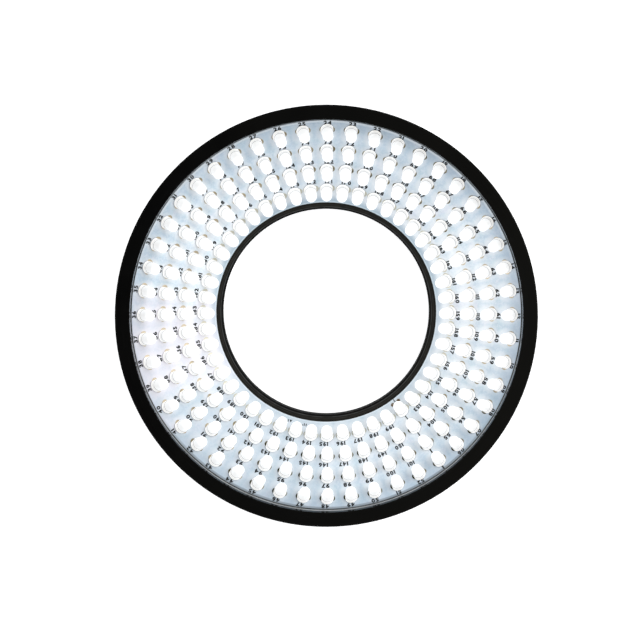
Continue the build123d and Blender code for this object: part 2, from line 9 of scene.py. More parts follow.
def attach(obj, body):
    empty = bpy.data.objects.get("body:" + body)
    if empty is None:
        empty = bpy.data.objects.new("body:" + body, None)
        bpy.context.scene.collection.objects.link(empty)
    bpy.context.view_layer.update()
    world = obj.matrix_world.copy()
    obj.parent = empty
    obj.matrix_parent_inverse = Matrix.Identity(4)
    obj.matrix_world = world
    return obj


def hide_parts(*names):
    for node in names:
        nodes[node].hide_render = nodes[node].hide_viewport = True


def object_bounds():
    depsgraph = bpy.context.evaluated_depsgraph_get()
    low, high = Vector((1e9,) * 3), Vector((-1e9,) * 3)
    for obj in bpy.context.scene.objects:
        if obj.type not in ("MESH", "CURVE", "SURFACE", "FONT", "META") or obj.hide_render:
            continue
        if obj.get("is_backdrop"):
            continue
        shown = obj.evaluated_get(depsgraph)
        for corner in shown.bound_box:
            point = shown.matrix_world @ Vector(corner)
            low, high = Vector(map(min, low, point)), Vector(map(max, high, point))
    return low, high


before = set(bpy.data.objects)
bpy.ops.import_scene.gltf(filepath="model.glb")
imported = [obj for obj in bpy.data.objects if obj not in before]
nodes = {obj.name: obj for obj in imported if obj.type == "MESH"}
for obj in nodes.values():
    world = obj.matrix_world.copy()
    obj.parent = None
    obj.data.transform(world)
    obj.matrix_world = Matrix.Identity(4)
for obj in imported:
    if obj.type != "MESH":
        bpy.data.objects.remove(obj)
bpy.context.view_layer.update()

MM = 0.001

# ------------------------------------------------------------------ sizes, in millimetres, as in the construction
HEIGHT = 27.0
OUTER_R, LIP_R, BORE_R = 60.0, 55.85, 30.0
TILT = math.radians(30.0)
TAN, COS, SIN = math.tan(TILT), math.cos(TILT), math.sin(TILT)
REF_R, REF_Z = 55.0, 20.2
BOARD_IN_R, BOARD_OUT_R, BOARD_T = 31.95, 55.6, 0.4
RING_R = (52.9, 47.25, 41.6, 35.9)
RING_NAMES = ("outer_ring", "second_ring", "third_ring", "inner_ring")
LAMPS = 48
PITCH = 360.0 / LAMPS
SEAM_DEG = -52.5
SEAM_GAP = 0.24
LAMP_GAP, LAMP_R, LAMP_H, FLANGE_R, FLANGE_H, FLANGE_FLAT = 0.12, 1.56, 5.30, 1.94, 1.0, 1.68
LEAD_PITCH = 2.54
INLET_Z = 10.1


def board_z(r):
    return REF_Z + (r - REF_R) * TAN


# ------------------------------------------------------------------ camera at the photograph's angle
# The photograph looks down the axis from about 0.8 m, a little from above the centre.
IMAGE = 640.0
CENTRE_PX = (326.38, 316.90)
RIM_PX = 211.76
scale_mm = OUTER_R / RIM_PX
dist_z, dist_y = 810.0, 54.6
aim = Vector((-(CENTRE_PX[0] - IMAGE / 2) * scale_mm, (CENTRE_PX[1] - IMAGE / 2) * scale_mm, HEIGHT)) * MM
eye = Vector((aim.x, aim.y + dist_y * MM, (HEIGHT + dist_z) * MM))
cam_data = bpy.data.cameras.new("camera")
cam = bpy.data.objects.new("camera", cam_data)
bpy.context.scene.collection.objects.link(cam)
look = (aim - eye).normalized()
# the picture's up is +Y
right = look.cross(Vector((0, 1, 0))).normalized()
up = right.cross(look).normalized()
basis = Matrix((right, up, -look)).transposed()
cam.matrix_world = Matrix.Translation(eye) @ basis.to_4x4()
cam_data.sensor_fit = "HORIZONTAL"
cam_data.sensor_width = 36.0
cam_data.lens = 36.0 * (eye - aim).length / (IMAGE * scale_mm * MM)
cam_data.clip_start = 0.02
cam_data.clip_end = 20.0
cam_data.dof.use_dof = False
bpy.context.scene.camera = cam


# ------------------------------------------------------------------ material helpers
class Mat:
    """A node material with short calls for the nodes it is made of."""

    def __init__(self, name):
        self.m = bpy.data.materials.new(name)
        self.m.use_nodes = True
        self.t = self.m.node_tree
        self.bsdf = self.t.nodes["Principled BSDF"]
        self.out = self.t.nodes["Material Output"]
        self.x = -400
        self.obj = None
        self._polar = None

    def node(self, kind, **props):
        n = self.t.nodes.new(kind)
        n.location = (self.x, 0)
        self.x -= 60
        for k, v in props.items():
            setattr(n, k, v)
        return n

    def link(self, a, b):
        self.t.links.new(a, b)

    def put(self, socket, value):
        if isinstance(value, bpy.types.NodeSocket):
            self.link(value, socket)
        else:
            socket.default_value = value

    def math(self, op, a, b=0.0, c=0.0, clamp=False):
        n = self.node("ShaderNodeMath", operation=op, use_clamp=clamp)
        self.put(n.inputs[0], a)
        if len(n.inputs) > 1:
            self.put(n.inputs[1], b)
        if len(n.inputs) > 2:
            self.put(n.inputs[2], c)
        return n.outputs[0]

    def coord(self):
        if self.obj is None:
            self.obj = self.node("ShaderNodeTexCoord").outputs["Object"]
        return self.obj

    def polar(self):
        """radius in mm, angle in degrees, height in mm"""
        if self._polar is None:
            sep = self.node("ShaderNodeSeparateXYZ")
            self.link(self.coord(), sep.inputs[0])
            x, y, z = sep.outputs
            rr = self.math("ADD", self.math("MULTIPLY", x, x), self.math("MULTIPLY", y, y))
            r = self.math("MULTIPLY", self.math("SQRT", rr), 1000.0)
            a = self.math("MULTIPLY", self.math("ARCTAN2", y, x), 180.0 / math.pi)
            zz = self.math("MULTIPLY", z, 1000.0)
            self._polar = (r, a, zz)
        return self._polar

    def noise(self, size_mm, detail=4.0, rough=0.55, vector=None, distort=0.0):
        n = self.node("ShaderNodeTexNoise")
        n.inputs["Scale"].default_value = 1000.0 / size_mm
        n.inputs["Detail"].default_value = detail
        n.inputs["Roughness"].default_value = rough
        n.inputs["Distortion"].default_value = distort
        self.link(vector if vector is not None else self.coord(), n.inputs["Vector"])
        return n.outputs["Fac"]

    def voronoi(self, size_mm, feature="F1", vector=None, randomness=1.0):
        n = self.node("ShaderNodeTexVoronoi", feature=feature)
        n.inputs["Scale"].default_value = 1000.0 / size_mm
        n.inputs["Randomness"].default_value = randomness
        self.link(vector if vector is not None else self.coord(), n.inputs["Vector"])
        return n.outputs["Distance"]

    def vec(self, x, y, z):
        n = self.node("ShaderNodeCombineXYZ")
        self.put(n.inputs[0], x)
        self.put(n.inputs[1], y)
        self.put(n.inputs[2], z)
        return n.outputs[0]

    def ramp(self, fac, stops, interp="LINEAR"):
        n = self.node("ShaderNodeValToRGB")
        n.color_ramp.interpolation = interp
        els = n.color_ramp.elements
        while len(els) > 1:
            els.remove(els[-1])
        els[0].position = stops[0][0]
        els[0].color = self.rgba(stops[0][1])
        for p, c in stops[1:]:
            e = els.new(p)
            e.color = self.rgba(c)
        self.put(n.inputs[0], fac)
        return n.outputs["Color"]

    @staticmethod
    def rgba(c):
        if isinstance(c, (int, float)):
            return (c, c, c, 1.0)
        return tuple(c) + (1.0,) if len(c) == 3 else tuple(c)

    def smooth(self, value, lo, hi, a=0.0, b=1.0):
        """a below lo, b above hi, smooth between"""
        n = self.node("ShaderNodeMapRange", interpolation_type="SMOOTHSTEP", clamp=True)
        self.put(n.inputs["Value"], value)
        n.inputs["From Min"].default_value = lo
        n.inputs["From Max"].default_value = hi
        n.inputs["To Min"].default_value = a
        n.inputs["To Max"].default_value = b
        return n.outputs["Result"]

    def band(self, value, centre, half, soft):
        """1 within half of centre, 0 outside"""
        d = self.math("ABSOLUTE", self.math("SUBTRACT", value, centre))
        return self.smooth(d, half - soft / 2, half + soft / 2, 1.0, 0.0)

    def mix(self, fac, a, b, blend="MIX"):
        n = self.node("ShaderNodeMix", data_type="RGBA", blend_type=blend)
        self.put(n.inputs[0], fac)
        for socket, v in ((n.inputs[6], a), (n.inputs[7], b)):
            if isinstance(v, bpy.types.NodeSocket):
                self.link(v, socket)
            else:
                socket.default_value = self.rgba(v)
        return n.outputs[2]

    def mixf(self, fac, a, b):
        n = self.node("ShaderNodeMix", data_type="FLOAT")
        self.put(n.inputs[0], fac)
        self.put(n.inputs[2], a)
        self.put(n.inputs[3], b)
        return n.outputs[0]

    def color(self, v):
        if isinstance(v, bpy.types.NodeSocket):
            self.link(v, self.bsdf.inputs["Base Color"])
        else:
            self.bsdf.inputs["Base Color"].default_value = self.rgba(v)

    def set(self, name, v):
        self.put(self.bsdf.inputs[name], v)

    def bump(self, heights):
        """heights: list of (socket, strength, distance in mm)"""
        last = None
        for h, strength, dist in heights:
            n = self.node("ShaderNodeBump")
            n.inputs["Strength"].default_value = strength
            n.inputs["Distance"].default_value = dist * MM
            self.link(h, n.inputs["Height"])
            if last is not None:
                self.link(last, n.inputs["Normal"])
            last = n.outputs["Normal"]
        self.link(last, self.bsdf.inputs["Normal"])


def smooth_shade(obj):
    for p in obj.data.polygons:
        p.use_smooth = True


# ------------------------------------------------------------------ materials
def housing_material():
    """Black anodised aluminium: blasted outside, smooth and glossy on the wall in front of the board."""
    m = Mat("black_anodised")
    r, a, z = m.polar()
    grain = m.noise(0.16, 3.0, 0.7)
    cloud = m.noise(9.0, 4.0, 0.6)
    cloud2 = m.noise(2.2, 3.0, 0.6)
    inner = m.math("MULTIPLY", m.smooth(r, 55.95, 56.1, 1.0, 0.0), m.smooth(z, 16.0, 17.0))
    base = m.ramp(m.math("ADD", m.math("MULTIPLY", cloud, 0.6), m.math("MULTIPLY", grain, 0.4)),
                  [(0.30, (0.0010, 0.0010, 0.0011)), (0.55, (0.0018, 0.0018, 0.0018)), (0.75, (0.0036, 0.0035, 0.0034))])
    # edges where the film is rubbed thin
    rim_edge = m.math("ADD", m.math("MULTIPLY", m.band(r, 59.78, 0.16, 0.16), 0.3), m.band(r, 56.02, 0.10, 0.10), clamp=True)
    top = m.smooth(z, 26.4, 26.8)
    low_edge = m.math("MULTIPLY", m.band(r, 59.8, 0.16, 0.16), m.smooth(z, 0.15, 0.6, 1.0, 0.0))
    rub = m.math("MULTIPLY", m.math("ADD", m.math("MULTIPLY", rim_edge, top), low_edge, clamp=True),
                 m.smooth(m.noise(1.1, 4.0, 0.7), 0.52, 0.68))
    base = m.mix(m.math("MULTIPLY", rub, 0.35), base, (0.05, 0.05, 0.052))
    # a few fine handling marks
    scratch = m.noise(0.35, 2.0, 0.5, vector=m.vec(m.math("MULTIPLY", r, 0.004), m.math("MULTIPLY", a, 0.00006), m.math("MULTIPLY", z, 0.0009)))
    mark = m.smooth(scratch, 0.70, 0.74)
    base = m.mix(m.math("MULTIPLY", mark, 0.25), base, (0.022, 0.022, 0.023))
    dust = m.smooth(m.voronoi(1.7), 0.05, 0.03, 0.0, 1.0)
    dust = m.math("MULTIPLY", dust, m.smooth(m.noise(6.0), 0.55, 0.65))
    base = m.mix(m.math("MULTIPLY", dust, 0.25), base, (0.06, 0.06, 0.06))
    wall = m.mix(m.noise(3.0), (0.008, 0.0085, 0.009), (0.016, 0.0165, 0.017))
    # the outside wall is turned: fine grooves, slightly paler where it's handled
    outer = m.math("MULTIPLY", m.smooth(r, 59.62, 59.75), m.smooth(z, 26.45, 26.15))
    groove = m.noise(0.30, 3.0, 0.7, vector=m.vec(m.math("MULTIPLY", z, 0.001), m.math("MULTIPLY", a, 0.000006), 0.0))
    handled = m.smooth(m.noise(16.0, 4.0, 0.6), 0.40, 0.70)
    outside_col = m.mix(m.smooth(groove, 0.35, 0.65), (0.0035, 0.0035, 0.0036), (0.0105, 0.0105, 0.0108))
    outside_col = m.mix(m.math("MULTIPLY", handled, 0.5), outside_col, (0.017, 0.017, 0.0175))
    base = m.mix(outer, base, outside_col)
    # painted light: the film is painted a little paler and warmer towards the right of the ring, slightly more on the
    # lower side, as if lit from there
    sx = m.node("ShaderNodeSeparateXYZ")
    m.link(m.coord(), sx.inputs[0])
    side = m.math("ADD", m.math("MULTIPLY", sx.outputs[0], 7.2), m.math("MULTIPLY", sx.outputs[1], -1.0))
    side = m.math("ADD", m.math("ADD", side, 0.5), m.math("MULTIPLY", m.math("SUBTRACT", m.noise(30.0, 2.0), 0.5), 0.5), clamp=True)
    base = m.mix(m.math("MULTIPLY", m.math("MULTIPLY", side, 0.55), m.math("SUBTRACT", 1.0, outer)), base, (0.0085, 0.0083, 0.0070))
    # the corner behind the board's edge is painted grey, and paler at the top and on the lower side of the ring as a
    # painted highlight
    corner = m.math("MULTIPLY", m.band(r, 55.72, 0.24, 0.10), m.band(z, 20.30, 0.45, 0.20))
    top_painted_highlight = m.smooth(sx.outputs[1], 0.005, 0.040)
    bottom_painted_highlight = m.smooth(sx.outputs[1], -0.014, -0.042)
    patchy = m.smooth(m.noise(7.0, 3.0, 0.6), 0.36, 0.62, 0.35, 1.0)
    patchy = m.math("MAXIMUM", patchy, m.math("MAXIMUM", m.math("MULTIPLY", top_painted_highlight, 0.9), m.math("MULTIPLY", bottom_painted_highlight, 0.7)))
    corner = m.math("MULTIPLY", corner, patchy)
    # the blasting reaches over the front edge, furthest on the lower side
    reach = m.math("ADD", z, m.smooth(sx.outputs[1], 0.030, -0.050, 0.0, 3.0))
    wall = m.mix(m.math("MULTIPLY", inner, m.smooth(reach, 26.9, 26.0)), base, wall)
    # the wall is greyer just above the board, most on the lower side, where the board's light falls on it
    low = m.math("SUBTRACT", sx.outputs[1], m.math("MULTIPLY", sx.outputs[0], 0.14))
    grey = m.math("MULTIPLY", m.math("MULTIPLY", inner, m.smooth(low, 0.022, -0.030)), m.band(z, 22.15, 1.25, 0.8))
    wall = m.mix(m.math("MULTIPLY", grey, m.smooth(m.noise(7.5, 2.0, 0.5), 0.34, 0.64, 0.70, 0.88)), wall, (0.60, 0.61, 0.62))
    corner_grey_and_highlight = m.mix(m.noise(0.8, 3.0, 0.7), (0.14, 0.145, 0.145), (0.27, 0.275, 0.27))
    # painted highlight: the corner is painted paler at the top and on the lower side of the ring
    corner_grey_and_highlight = m.mix(m.math("MULTIPLY", top_painted_highlight, 0.85), corner_grey_and_highlight, (0.60, 0.64, 0.67))
    corner_grey_and_highlight = m.mix(m.math("MULTIPLY", bottom_painted_highlight, 0.60), corner_grey_and_highlight, (0.40, 0.42, 0.43))
    m.color(m.mix(corner, wall, corner_grey_and_highlight))
    m.set("Coat Weight", m.math("ADD", m.math("MULTIPLY", inner, m.smooth(reach, 26.6, 25.7)), m.math("MULTIPLY", outer, m.math("ADD", 0.16, m.math("MULTIPLY", groove, 0.22))), clamp=True))
    m.set("Coat Roughness", 0.20)
    m.set("Coat IOR", 1.6)
    rough = m.math("ADD", m.math("MULTIPLY", grain, 0.22), m.math("MULTIPLY", cloud2, 0.20))
    rough = m.math("ADD", rough, 0.33)
    turned = m.noise(0.12, 2.0, 0.6, vector=m.vec(m.math("MULTIPLY", z, 0.001), m.math("MULTIPLY", a, 0.000004), 0.0))
    rough_wall = m.math("ADD", m.math("MULTIPLY", turned, 0.12), 0.12)
    m.set("Roughness", m.mixf(inner, rough, rough_wall))
    m.set("Specular IOR Level", 0.010)
    outside = m.math("SUBTRACT", 1.0, inner)
    rings = m.noise(0.10, 2.0, 0.5, vector=m.vec(m.math("MULTIPLY", r, 0.001), m.math("MULTIPLY", a, 0.000003), m.math("MULTIPLY", z, 0.001)))
    m.bump([
        (m.math("MULTIPLY", grain, outside), 0.55, 0.035),
        (m.math("MULTIPLY", rings, 1.0), 0.25, 0.012),
        (m.math("MULTIPLY", turned, inner), 0.20, 0.008),
        (m.math("MULTIPLY", groove, outer), 0.35, 0.020),
    ])
    m.link(m.bsdf.inputs["Normal"].links[0].from_socket, m.bsdf.inputs["Coat Normal"])
    return m.m


def collar_material():
    m = Mat("charcoal_anodised")
    r, a, z = m.polar()
    face = m.math("MULTIPLY", m.smooth(z, 5.75, 5.95), m.smooth(r, 30.3, 30.55))
    grain = m.noise(0.14, 3.0, 0.7)
    cloud = m.noise(3.5, 4.0, 0.65)
    front = m.ramp(m.math("ADD", m.math("MULTIPLY", cloud, 0.65), m.math("MULTIPLY", grain, 0.35)),
                   [(0.28, (0.0050, 0.0050, 0.0042)), (0.5, (0.0105, 0.0100, 0.0084)), (0.72, (0.022, 0.0195, 0.0155))])
    bore = m.mix(cloud, (0.0006, 0.0007, 0.0008), (0.0018, 0.0018, 0.0018))
    front = m.mix(m.smooth(r, 30.85, 31.25, 0.0, 0.35), front, (0.028, 0.026, 0.023))
    # painted highlight: a thin paler line on the collar's front face beside the bore's chamfer
    bore_edge_highlight = m.math("MULTIPLY", m.band(r, 30.62, 0.09, 0.08), m.smooth(z, 5.6, 5.75))
    groove = m.math("MULTIPLY", m.band(r, 31.15, 0.05, 0.06), m.smooth(z, 5.6, 5.75))
    col = m.mix(face, bore, front)
    col = m.mix(m.math("MULTIPLY", bore_edge_highlight, m.smooth(m.noise(2.4, 3.0), 0.35, 0.6, 0.40, 1.0)), col, (0.055, 0.057, 0.056))
    col = m.mix(m.math("MULTIPLY", groove, m.smooth(m.noise(4.0, 3.0), 0.42, 0.6, 0.0, 0.8)), col, (0.045, 0.042, 0.036))
    m.color(col)
    rings = m.noise(0.09, 2.0, 0.6, vector=m.vec(m.math("MULTIPLY", r, 0.001), m.math("MULTIPLY", a, 0.000004), m.math("MULTIPLY", z, 0.001)))
    m.set("Roughness", m.math("ADD", m.math("MULTIPLY", rings, 0.25), m.mixf(face, 0.72, 0.34)))
    m.set("Specular IOR Level", 0.10)
    m.bump([(grain, 0.30, 0.02), (rings, 0.40, 0.015)])
    return m.m


def plate_material():
    m = Mat("black_anodised_turned")
    r, a, z = m.polar()
    rings = m.noise(0.22, 3.0, 0.6, vector=m.vec(m.math("MULTIPLY", r, 0.001), m.math("MULTIPLY", a, 0.000005), 0.0))
    cloud = m.noise(7.0, 4.0, 0.6)
    wear = m.math("MULTIPLY", m.smooth(m.noise(3.0, 5.0, 0.7), 0.56, 0.70), m.band(r, 45.0, 10.0, 8.0))
    col = m.mix(m.math("ADD", m.math("MULTIPLY", cloud, 0.5), m.math("MULTIPLY", rings, 0.5)), (0.005, 0.005, 0.0055), (0.016, 0.016, 0.0165))
    col = m.mix(m.math("MULTIPLY", wear, 0.25), col, (0.045, 0.045, 0.046))
    m.color(col)
    m.set("Roughness", m.math("ADD", m.math("MULTIPLY", rings, 0.3), 0.28))
    m.set("Specular IOR Level", 0.45)
    m.bump([(rings, 0.5, 0.015), (m.noise(0.2, 2.0), 0.2, 0.01)])
    return m.m


def board_material():
    """White solder mask over copper tracks, lit by the lamps that stand on it."""
    m = Mat("white_board")
    r, a, z = m.polar()
    cloud = m.noise(11.0, 3.0, 0.55)
    mott = m.noise(2.6, 4.0, 0.6)
    fine = m.noise(0.22, 2.0, 0.6)
    # tracks under the mask: arcs from lamp to lamp, and short radial links
    step = m.math("MODULO", m.math("ADD", a, 720.0 + PITCH / 2), PITCH)
    off = m.math("ABSOLUTE", m.math("SUBTRACT", step, PITCH / 2))  # degrees from the nearest column of lamps
    track = None
    for ring in RING_R:
        t = m.math("MULTIPLY", m.band(r, ring, 0.34, 0.10), m.smooth(off, 0.7, 0.9))
        track = t if track is None else m.math("MAXIMUM", track, t)
    for c in ((RING_R[0] + RING_R[1]) / 2, (RING_R[1] + RING_R[2]) / 2, (RING_R[2] + RING_R[3]) / 2):
        track = m.math("MAXIMUM", track, m.math("MULTIPLY", m.band(r, c, 0.55, 0.10), m.band(off, 2.2, 0.9, 0.12)))
    base = m.ramp(m.math("ADD", m.math("MULTIPLY", cloud, 0.7), m.math("MULTIPLY", mott, 0.3)),
                  [(0.28, (0.52, 0.64, 0.76)), (0.50, (0.62, 0.73, 0.83)), (0.72, (0.72, 0.80, 0.89))])
    # painted light: the mask is painted paler towards the inner rings, where the lamps stand closest
    base = m.mix(m.smooth(r, 50.0, 40.0, 0.0, 0.66), base, (0.77, 0.84, 0.915))
    base = m.mix(m.smooth(m.noise(5.5, 3.0, 0.6), 0.50, 0.66, 0.0, 0.55), base, (0.48, 0.66, 0.74))
    base = m.mix(m.smooth(m.noise(8.0, 3.0, 0.6, distort=0.6), 0.54, 0.68, 0.0, 0.60), base, (0.80, 0.79, 0.89))
    base = m.mix(m.smooth(m.noise(1.3, 4.0, 0.7), 0.36, 0.66, 0.30, 0.0), base, (0.40, 0.53, 0.62))
    base = m.mix(m.smooth(m.noise(0.60, 3.0, 0.7), 0.42, 0.68, 0.0, 0.34), base, (0.95, 0.97, 0.99))
    base = m.mix(m.math("MULTIPLY", track, 0.25), base, (0.52, 0.70, 0.78))
    # painted light: the mask is painted paler close to each lamp, as a pool of the lamp's light
    lamp_light_pool = None
    side_mm = m.math("MULTIPLY", m.math("MULTIPLY", off, math.pi / 180.0), r)
    for ring in RING_R:
        dr = m.math("MULTIPLY", m.math("SUBTRACT", r, ring - 0.7), 0.86)
        d = m.math("SQRT", m.math("ADD", m.math("MULTIPLY", side_mm, side_mm), m.math("MULTIPLY", dr, dr)))
        t = m.smooth(d, 3.6, 1.9)
        lamp_light_pool = t if lamp_light_pool is None else m.math("MAXIMUM", lamp_light_pool, t)
    base = m.mix(m.math("MULTIPLY", lamp_light_pool, 0.72), base, (0.91, 0.93, 0.95))
    # painted shade: the mask is painted darker and bluer towards the rim, most on the right, and darker again beside
    # the collar
    spx = m.node("ShaderNodeSeparateXYZ")
    m.link(m.coord(), spx.inputs[0])
    right_shade = m.smooth(m.math("ADD", spx.outputs[0], m.math("MULTIPLY", m.math("SUBTRACT", mott, 0.5), 0.03)), -0.03, 0.05)
    base = m.mix(m.math("MULTIPLY", m.smooth(r, 49.5, 54.5), m.math("ADD", 0.25, m.math("MULTIPLY", right_shade, 0.20))), base, (0.38, 0.50, 0.64))
    # painted light and shade round the board: painted darker at the lower left, the top and the lower right, paler and
    # warmer at the left, paler at the right
    lobe_angle = m.math("ADD", a, m.math("MULTIPLY", m.math("SUBTRACT", m.noise(9.0, 3.0, 0.6), 0.5), 46.0))

    def painted_light_lobe(centre, half, soft):
        turn = m.math("MODULO", m.math("ADD", lobe_angle, 900.0 - centre), 360.0)
        return m.smooth(m.math("ABSOLUTE", m.math("SUBTRACT", turn, 180.0)), half - soft / 2, half + soft / 2, 1.0, 0.0)

    base = m.mix(m.math("MULTIPLY", painted_light_lobe(240.0, 28.0, 24.0), 0.46), base, (0.36, 0.44, 0.52))
    base = m.mix(m.math("MULTIPLY", painted_light_lobe(86.0, 44.0, 40.0), 0.22), base, (0.34, 0.43, 0.53))
    base = m.mix(m.math("MULTIPLY", painted_light_lobe(298.0, 32.0, 26.0), 0.24), base, (0.36, 0.44, 0.52))
    base = m.mix(m.math("MULTIPLY", painted_light_lobe(193.0, 15.0, 18.0), 0.55), base, (0.86, 0.80, 0.87))
    base = m.mix(m.math("MULTIPLY", painted_light_lobe(356.0, 24.0, 24.0), 0.14), base, (0.86, 0.91, 0.97))
    # painted shade along the board's outer edge at the bottom, and painted light along it at the top
    base = m.mix(m.math("MULTIPLY", m.smooth(r, 55.15, 55.5), m.smooth(spx.outputs[1], -0.01, 0.03, 0.15, 0.0)), base, (0.26, 0.32, 0.38))
    base = m.mix(m.math("MULTIPLY", m.smooth(r, 54.9, 55.2), m.smooth(spx.outputs[1], 0.0, 0.035, 0.0, 0.58)), base, (0.84, 0.89, 0.93))
    base = m.mix(m.math("MULTIPLY", m.smooth(r, 54.95, 55.2), m.smooth(spx.outputs[1], -0.024, -0.044, 0.0, 0.68)), base, (0.19, 0.22, 0.25))
    # painted shade in the pocket beside the collar, most at the top
    base = m.mix(m.math("MULTIPLY", m.smooth(r, 34.4, 32.4), m.smooth(spx.outputs[1], -0.02, 0.02, 0.25, 0.85)), base, (0.38, 0.49, 0.58))
    base = m.mix(m.smooth(r, 32.35, 32.2, 0.0, 0.30), base, (0.84, 0.93, 0.98))
    # flux and handling stains beside the seam
    da = m.math("ABSOLUTE", m.math("SUBTRACT", a, SEAM_DEG))
    stain = m.math("MULTIPLY", m.smooth(da, 2.6, 0.6), m.smooth(m.noise(1.3, 4.0, 0.7), 0.50, 0.66))
    base = m.mix(m.math("MULTIPLY", stain, 0.35), base, (0.36, 0.33, 0.25))
    front = m.smooth(m.math("SUBTRACT", z, m.math("ADD", m.math("MULTIPLY", r, TAN), REF_Z - REF_R * TAN)), -0.20, -0.12)
    m.color(m.mix(front, (0.50, 0.55, 0.50), base))
    m.set("Roughness", m.math("ADD", m.math("MULTIPLY", mott, 0.15), 0.38))
    m.set("Specular IOR Level", 0.35)
    m.bump([(track, 0.5, 0.035), (fine, 0.25, 0.012), (mott, 0.15, 0.05)])
    return m.m


LAMP_GLOW = 0.66


def lamp_material():
    """Clear epoxy with its chip lit: the body is white with light, and the moulded flange is dimmer."""
    m = Mat("lamp_epoxy")
    h = m.node("ShaderNodeAttribute", attribute_name="height_mm").outputs["Fac"]
    q = m.node("ShaderNodeAttribute", attribute_name="radius_mm").outputs["Fac"]
    cloud = m.noise(1.0, 3.0, 0.6)
    lit = m.ramp(m.math("MULTIPLY", h, 1.0 / 5.5), [
        (0.0, 0.0), (0.0235, 0.0), (0.030, 1.00), (0.10, 1.08), (0.175, 1.13), (0.205, 1.13), (0.24, 0.92), (0.34, 0.90), (0.50, 0.93), (0.68, 1.00), (0.85, 1.10), (1.0, 1.14)])
    # the inner rings stand closer together and light each other's flanges
    close = m.math("MULTIPLY", m.smooth(m.polar()[0], 52.0, 40.0), m.smooth(h, 1.5, 1.0))
    lit = m.math("MULTIPLY", lit, m.math("ADD", 1.0, m.math("MULTIPLY", close, 0.10)))
    # the outermost lamps get their own light back from the wall
    lit = m.math("MULTIPLY", lit, m.math("ADD", 1.0, m.smooth(m.polar()[0], 51.6, 53.6, 0.0, 0.24)))
    # the flange's edge and the crease at the body's foot bend the light away
    edge = m.math("MULTIPLY", m.band(q, 1.87, 0.08, 0.08), m.smooth(h, 0.84, 0.96))
    crease = m.math("MULTIPLY", m.band(q, 1.61, 0.07, 0.06), m.band(h, 1.20, 0.14, 0.10))
    loss = m.math("MAXIMUM", m.math("MULTIPLY", edge, 0.62), m.math("MULTIPLY", crease, 0.85))
    lit = m.math("MULTIPLY", lit, m.math("SUBTRACT", 1.0, loss))
    lit = m.math("MULTIPLY", lit, m.math("ADD", m.math("MULTIPLY", cloud, 0.24), 0.88))
    m.color(m.mix(cloud, (0.42, 0.43, 0.44), (0.52, 0.53, 0.54)))
    m.set("Emission Color", m.mix(m.smooth(h, 0.2, 1.6), (1.0, 0.975, 0.92), (1.0, 1.0, 0.99)))
    m.set("Emission Strength", m.math("MULTIPLY", lit, LAMP_GLOW))
    m.set("Roughness", m.math("ADD", m.math("MULTIPLY", cloud, 0.06), 0.06))
    m.set("Specular IOR Level", 0.5)
    m.bump([(m.noise(0.8, 2.0), 0.10, 0.02)])
    return m.m


def metal_material(name, dark, light, rough, grain_mm=0.25, spot=None):
    m = Mat(name)
    cloud = m.noise(1.4, 4.0, 0.65)
    grain = m.noise(grain_mm, 3.0, 0.6)
    col = m.mix(m.smooth(cloud, 0.35, 0.68), dark, light)
    if spot is not None:
        col = m.mix(m.math("MULTIPLY", m.smooth(m.noise(0.7, 4.0, 0.7), 0.54, 0.68), 0.7), col, spot)
    m.color(col)
    m.set("Metallic", 1.0)
    m.set("Roughness", m.math("ADD", m.math("MULTIPLY", grain, 0.22), rough))
    m.bump([(grain, 0.35, 0.02), (cloud, 0.2, 0.03)])
    return m.m


def pad_material():
    """Gilt pads, mottled dark, with painted light and painted shade that vary round the board."""
    m = Mat("gilt_pad")
    cloud = m.noise(0.9, 4.0, 0.7)
    grain = m.noise(0.2, 3.0, 0.6)
    col = m.mix(m.smooth(cloud, 0.36, 0.60), (0.042, 0.040, 0.026), (0.29, 0.25, 0.155))
    col = m.mix(m.math("MULTIPLY", m.smooth(m.noise(5.0, 3.0), 0.48, 0.62), 0.45), col, (0.58, 0.51, 0.39))
    r, a, z = m.polar()
    # painted light and shade round the board: pads painted paler on the left and right, darker at the top and bottom,
    # most at the bottom
    painted_light_turn = m.math("COSINE", m.math("MULTIPLY", a, 2.0 * math.pi / 180.0))
    painted_light_turn = m.math("ADD", painted_light_turn, m.math("MULTIPLY", m.math("SUBTRACT", m.noise(7.0, 2.0), 0.5), 1.6))
    col = m.mix(m.smooth(painted_light_turn, -0.1, 1.1, 0.0, 0.75), col, (0.77, 0.665, 0.52))
    col = m.mix(m.math("MULTIPLY", m.smooth(painted_light_turn, -0.2, -1.0), m.smooth(a, 0.0, -30.0, 0.12, 0.70)), col, (0.050, 0.058, 0.036))
    # painted light: pads painted paler at the upper left
    col = m.mix(m.math("MULTIPLY", m.band(a, 138.0, 38.0, 30.0), 0.45), col, (0.52, 0.43, 0.30))
    # painted shade: one pad of each pair, towards the bottom and lower right, painted near black
    step = m.math("SUBTRACT", m.math("MODULO", m.math("ADD", a, 720.0 + PITCH / 2), PITCH), PITCH / 2)
    shaded_pad = m.math("MULTIPLY", m.smooth(step, 0.25, -0.25), m.band(a, -72.0, 46.0, 26.0))
    shaded_pad = m.math("MULTIPLY", shaded_pad, m.smooth(m.noise(4.0, 3.0, 0.6), 0.34, 0.50, 0.55, 0.95))
    col = m.mix(m.math("MULTIPLY", shaded_pad, m.smooth(r, 36.5, 38.5, 0.4, 1.0)), col, (0.024, 0.028, 0.014))
    col = m.mix(m.smooth(r, 39.0, 37.5, 0.0, 0.62), col, (0.72, 0.73, 0.66))
    m.color(col)
    m.set("Metallic", 0.75)
    m.set("Roughness", m.math("ADD", m.math("MULTIPLY", grain, 0.25), 0.34))
    m.set("Specular IOR Level", 0.3)
    m.bump([(grain, 0.35, 0.02), (cloud, 0.3, 0.03)])
    return m.m


